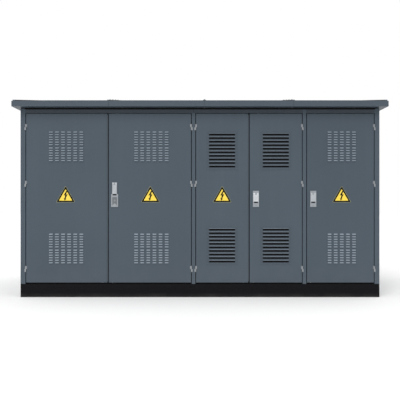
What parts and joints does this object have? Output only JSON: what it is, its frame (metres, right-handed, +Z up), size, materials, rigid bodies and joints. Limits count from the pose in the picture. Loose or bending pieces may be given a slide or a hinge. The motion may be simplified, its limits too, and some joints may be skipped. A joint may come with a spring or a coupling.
{
  "type": "box-type transformer substation",
  "caption": "Walk-up steel box substation with a pitched roof and louvred, lockable doors over transformer, low-voltage and ring-main compartments.",
  "frame": {"origin": "on the ground under the middle of the roof's outline", "axes": "+X to the right seen from the door side, doors face -Y, +Z up"},
  "size_m": [4.143, 2.44, 2.347],
  "materials": {
    "base_beams": "black anticorrosion paint",
    "floor_plates": "galvanised sheet",
    "frame_posts": "satin powder coat, blue-grey",
    "header_panels": "satin powder coat, blue-grey",
    "top_rails": "satin powder coat, blue-grey",
    "door_seals": "black EPDM rubber",
    "end_panels": "satin powder coat, blue-grey",
    "rear_panels": "satin powder coat, blue-grey",
    "partition_walls": "galvanised sheet",
    "roof_sheets": "satin powder coat, blue-grey",
    "roof_ribs": "satin powder coat, blue-grey",
    "roof_rafters": "galvanised sheet",
    "roof_trim": "satin powder coat, blue-grey",
    "fixed_hinge_halves": "satin zinc die casting",
    "transformer_tank": "grey enamel",
    "hv_bushings": "brown glaze",
    "lv_bushings": "cast resin",
    "tap_changer_knob": "dark moulded plastic",
    "busbars": "bare copper bar",
    "hv_cables": "red-brown sheath",
    "lv_board": "light grey powder coat",
    "lv_breakers": "dark moulded plastic",
    "rmu_cabinet": "light grey powder coat",
    "lv_breaker_grip": "red moulded plastic",
    "rmu_grip": "red moulded plastic",
    "door_1_leaf": "satin powder coat, blue-grey",
    "door_1_hinge_halves": "satin zinc die casting",
    "door_2_leaf": "satin powder coat, blue-grey",
    "door_2_hinge_halves": "satin zinc die casting",
    "door_3_leaf": "satin powder coat, blue-grey",
    "door_3_hinge_halves": "satin zinc die casting",
    "door_4_leaf": "satin powder coat, blue-grey",
    "door_4_hinge_halves": "satin zinc die casting",
    "door_5_leaf": "satin powder coat, blue-grey",
    "door_5_hinge_halves": "satin zinc die casting",
    "door_3_grilles": "satin powder coat, blue-grey",
    "door_4_grilles": "satin powder coat, blue-grey",
    "door_1_sign": "printed aluminium sign, yellow",
    "door_2_sign": "printed aluminium sign, yellow",
    "door_3_sign": "printed aluminium sign, yellow",
    "door_5_sign": "printed aluminium sign, yellow",
    "door_2_lock_case": "satin zinc die casting",
    "door_2_spindle": "zinc-plated steel",
    "door_2_lever": "satin zinc die casting",
    "door_2_rod_upper": "zinc-plated steel",
    "door_2_rod_lower": "zinc-plated steel",
    "door_4_lock_case": "satin zinc die casting",
    "door_4_spindle": "zinc-plated steel",
    "door_4_lever": "satin zinc die casting",
    "door_4_rod_upper": "zinc-plated steel",
    "door_4_rod_lower": "zinc-plated steel",
    "door_5_lock_case": "satin zinc die casting",
    "door_5_spindle": "zinc-plated steel",
    "door_5_lever": "satin zinc die casting",
    "door_5_rod_upper": "zinc-plated steel",
    "door_5_rod_lower": "zinc-plated steel",
    "door_1_bolt_upper": "zinc-plated steel",
    "door_1_bolt_lower": "zinc-plated steel",
    "door_3_bolt_upper": "zinc-plated steel",
    "door_3_bolt_lower": "zinc-plated steel"
  },
  "bodies": {
    "enclosure": {"base_beams": "base_beams", "floor_plates": "floor_plates", "frame_posts": "frame_posts", "header_panels": "header_panels", "top_rails": "top_rails", "door_seals": "door_seals", "end_panels": "end_panels", "rear_panels": "rear_panels", "partition_walls": "partition_walls", "roof_sheets": "roof_sheets", "roof_ribs": "roof_ribs", "roof_rafters": "roof_rafters", "roof_trim": "roof_trim", "fixed_hinge_halves": "fixed_hinge_halves", "transformer_tank": "transformer_tank", "hv_bushings": "hv_bushings", "lv_bushings": "lv_bushings", "busbars": "busbars", "hv_cables": "hv_cables", "lv_board": "lv_board", "lv_breakers": "lv_breakers", "rmu_cabinet": "rmu_cabinet"},
    "door_1": {"door_1_leaf": "door_1_leaf", "door_1_hinge_halves": "door_1_hinge_halves", "door_1_sign": "door_1_sign"},
    "door_2": {"door_2_leaf": "door_2_leaf", "door_2_hinge_halves": "door_2_hinge_halves", "door_2_sign": "door_2_sign", "door_2_lock_case": "door_2_lock_case"},
    "door_3": {"door_3_leaf": "door_3_leaf", "door_3_hinge_halves": "door_3_hinge_halves", "door_3_grilles": "door_3_grilles", "door_3_sign": "door_3_sign"},
    "door_4": {"door_4_leaf": "door_4_leaf", "door_4_hinge_halves": "door_4_hinge_halves", "door_4_grilles": "door_4_grilles", "door_4_lock_case": "door_4_lock_case"},
    "door_5": {"door_5_leaf": "door_5_leaf", "door_5_hinge_halves": "door_5_hinge_halves", "door_5_sign": "door_5_sign", "door_5_lock_case": "door_5_lock_case"},
    "door_2_lock_spindle": {"door_2_spindle": "door_2_spindle"},
    "door_2_handle": {"door_2_lever": "door_2_lever"},
    "door_2_upper_rod": {"door_2_rod_upper": "door_2_rod_upper"},
    "door_2_lower_rod": {"door_2_rod_lower": "door_2_rod_lower"},
    "door_4_lock_spindle": {"door_4_spindle": "door_4_spindle"},
    "door_4_handle": {"door_4_lever": "door_4_lever"},
    "door_4_upper_rod": {"door_4_rod_upper": "door_4_rod_upper"},
    "door_4_lower_rod": {"door_4_rod_lower": "door_4_rod_lower"},
    "door_5_lock_spindle": {"door_5_spindle": "door_5_spindle"},
    "door_5_handle": {"door_5_lever": "door_5_lever"},
    "door_5_upper_rod": {"door_5_rod_upper": "door_5_rod_upper"},
    "door_5_lower_rod": {"door_5_rod_lower": "door_5_rod_lower"},
    "door_1_upper_bolt": {"door_1_bolt_upper": "door_1_bolt_upper"},
    "door_1_lower_bolt": {"door_1_bolt_lower": "door_1_bolt_lower"},
    "door_3_upper_bolt": {"door_3_bolt_upper": "door_3_bolt_upper"},
    "door_3_lower_bolt": {"door_3_bolt_lower": "door_3_bolt_lower"},
    "tap_changer": {"tap_changer_knob": "tap_changer_knob"},
    "main_switch_grip": {"lv_breaker_grip": "lv_breaker_grip"},
    "ring_switch_grip": {"rmu_grip": "rmu_grip"}
  },
  "joints": [
    {"name": "door_1_hinge", "type": "hinge", "parent": "enclosure", "child": "door_1", "pos_m": [-1.942, -1.108, 1.1], "axis": [0, 0, -1], "range_deg": [0, 120]},
    {"name": "door_2_hinge", "type": "hinge", "parent": "enclosure", "child": "door_2", "pos_m": [-0.096, -1.108, 1.1], "axis": [0, 0, 1], "range_deg": [0, 90]},
    {"name": "door_3_hinge", "type": "hinge", "parent": "enclosure", "child": "door_3", "pos_m": [-0.048, -1.108, 1.1], "axis": [0, 0, -1], "range_deg": [0, 90]},
    {"name": "door_4_hinge", "type": "hinge", "parent": "enclosure", "child": "door_4", "pos_m": [1.14, -1.108, 1.1], "axis": [0, 0, 1], "range_deg": [0, 90]},
    {"name": "door_5_hinge", "type": "hinge", "parent": "enclosure", "child": "door_5", "pos_m": [1.942, -1.108, 1.1], "axis": [0, 0, 1], "range_deg": [0, 120]},
    {"name": "door_2_lock_turn", "type": "hinge", "parent": "door_2", "child": "door_2_lock_spindle", "pos_m": [-0.951, -1.1083, 1.267], "axis": [0, -1, 0], "range_deg": [0, 90]},
    {"name": "door_2_handle_flip", "type": "hinge", "parent": "door_2_lock_spindle", "child": "door_2_handle", "pos_m": [-0.951, -1.1128, 1.267], "axis": [-1, 0, 0], "range_deg": [0, 40]},
    {"name": "door_2_upper_rod_slide", "type": "slide", "parent": "door_2", "child": "door_2_upper_rod", "axis": [0, 0, 1], "range_m": [0, 0.0255]},
    {"name": "door_2_lower_rod_slide", "type": "slide", "parent": "door_2", "child": "door_2_lower_rod", "axis": [0, 0, -1], "range_m": [0, 0.0255]},
    {"name": "door_4_lock_turn", "type": "hinge", "parent": "door_4", "child": "door_4_lock_spindle", "pos_m": [0.623, -1.1083, 1.156], "axis": [0, -1, 0], "range_deg": [0, 90]},
    {"name": "door_4_handle_flip", "type": "hinge", "parent": "door_4_lock_spindle", "child": "door_4_handle", "pos_m": [0.623, -1.1128, 1.156], "axis": [-1, 0, 0], "range_deg": [0, 40]},
    {"name": "door_4_upper_rod_slide", "type": "slide", "parent": "door_4", "child": "door_4_upper_rod", "axis": [0, 0, 1], "range_m": [0, 0.0255]},
    {"name": "door_4_lower_rod_slide", "type": "slide", "parent": "door_4", "child": "door_4_lower_rod", "axis": [0, 0, -1], "range_m": [0, 0.0255]},
    {"name": "door_5_lock_turn", "type": "hinge", "parent": "door_5", "child": "door_5_lock_spindle", "pos_m": [1.261, -1.1083, 1.156], "axis": [0, -1, 0], "range_deg": [0, 90]},
    {"name": "door_5_handle_flip", "type": "hinge", "parent": "door_5_lock_spindle", "child": "door_5_handle", "pos_m": [1.261, -1.1128, 1.156], "axis": [-1, 0, 0], "range_deg": [0, 40]},
    {"name": "door_5_upper_rod_slide", "type": "slide", "parent": "door_5", "child": "door_5_upper_rod", "axis": [0, 0, 1], "range_m": [0, 0.0255]},
    {"name": "door_5_lower_rod_slide", "type": "slide", "parent": "door_5", "child": "door_5_lower_rod", "axis": [0, 0, -1], "range_m": [0, 0.0255]},
    {"name": "door_1_upper_bolt_slide", "type": "slide", "parent": "door_1", "child": "door_1_upper_bolt", "axis": [0, 0, 1], "range_m": [0, 0.022]},
    {"name": "door_1_lower_bolt_slide", "type": "slide", "parent": "door_1", "child": "door_1_lower_bolt", "axis": [0, 0, -1], "range_m": [0, 0.022]},
    {"name": "door_3_upper_bolt_slide", "type": "slide", "parent": "door_3", "child": "door_3_upper_bolt", "axis": [0, 0, 1], "range_m": [0, 0.022]},
    {"name": "door_3_lower_bolt_slide", "type": "slide", "parent": "door_3", "child": "door_3_lower_bolt", "axis": [0, 0, -1], "range_m": [0, 0.022]},
    {"name": "tap_changer_turn", "type": "hinge", "parent": "enclosure", "child": "tap_changer", "pos_m": [0.546, 0, 1.06], "axis": [0, 0, 1], "range_deg": [-120, 120]},
    {"name": "main_switch_turn", "type": "hinge", "parent": "enclosure", "child": "main_switch_grip", "pos_m": [-1.036, -0.47, 1.332], "axis": [0, -1, 0], "range_deg": [0, 90]},
    {"name": "ring_switch_turn", "type": "hinge", "parent": "enclosure", "child": "ring_switch_grip", "pos_m": [1.582, -0.37, 1.232], "axis": [0, -1, 0], "range_deg": [-60, 60]}
  ],
  "couplings": [
    {"joint": "door_2_upper_rod_slide", "follows": "door_2_lock_turn", "m_per_rad": 0.015915},
    {"joint": "door_2_lower_rod_slide", "follows": "door_2_lock_turn", "m_per_rad": 0.015915},
    {"joint": "door_4_upper_rod_slide", "follows": "door_4_lock_turn", "m_per_rad": 0.015915},
    {"joint": "door_4_lower_rod_slide", "follows": "door_4_lock_turn", "m_per_rad": 0.015915},
    {"joint": "door_5_upper_rod_slide", "follows": "door_5_lock_turn", "m_per_rad": 0.015915},
    {"joint": "door_5_lower_rod_slide", "follows": "door_5_lock_turn", "m_per_rad": 0.015915}
  ]
}
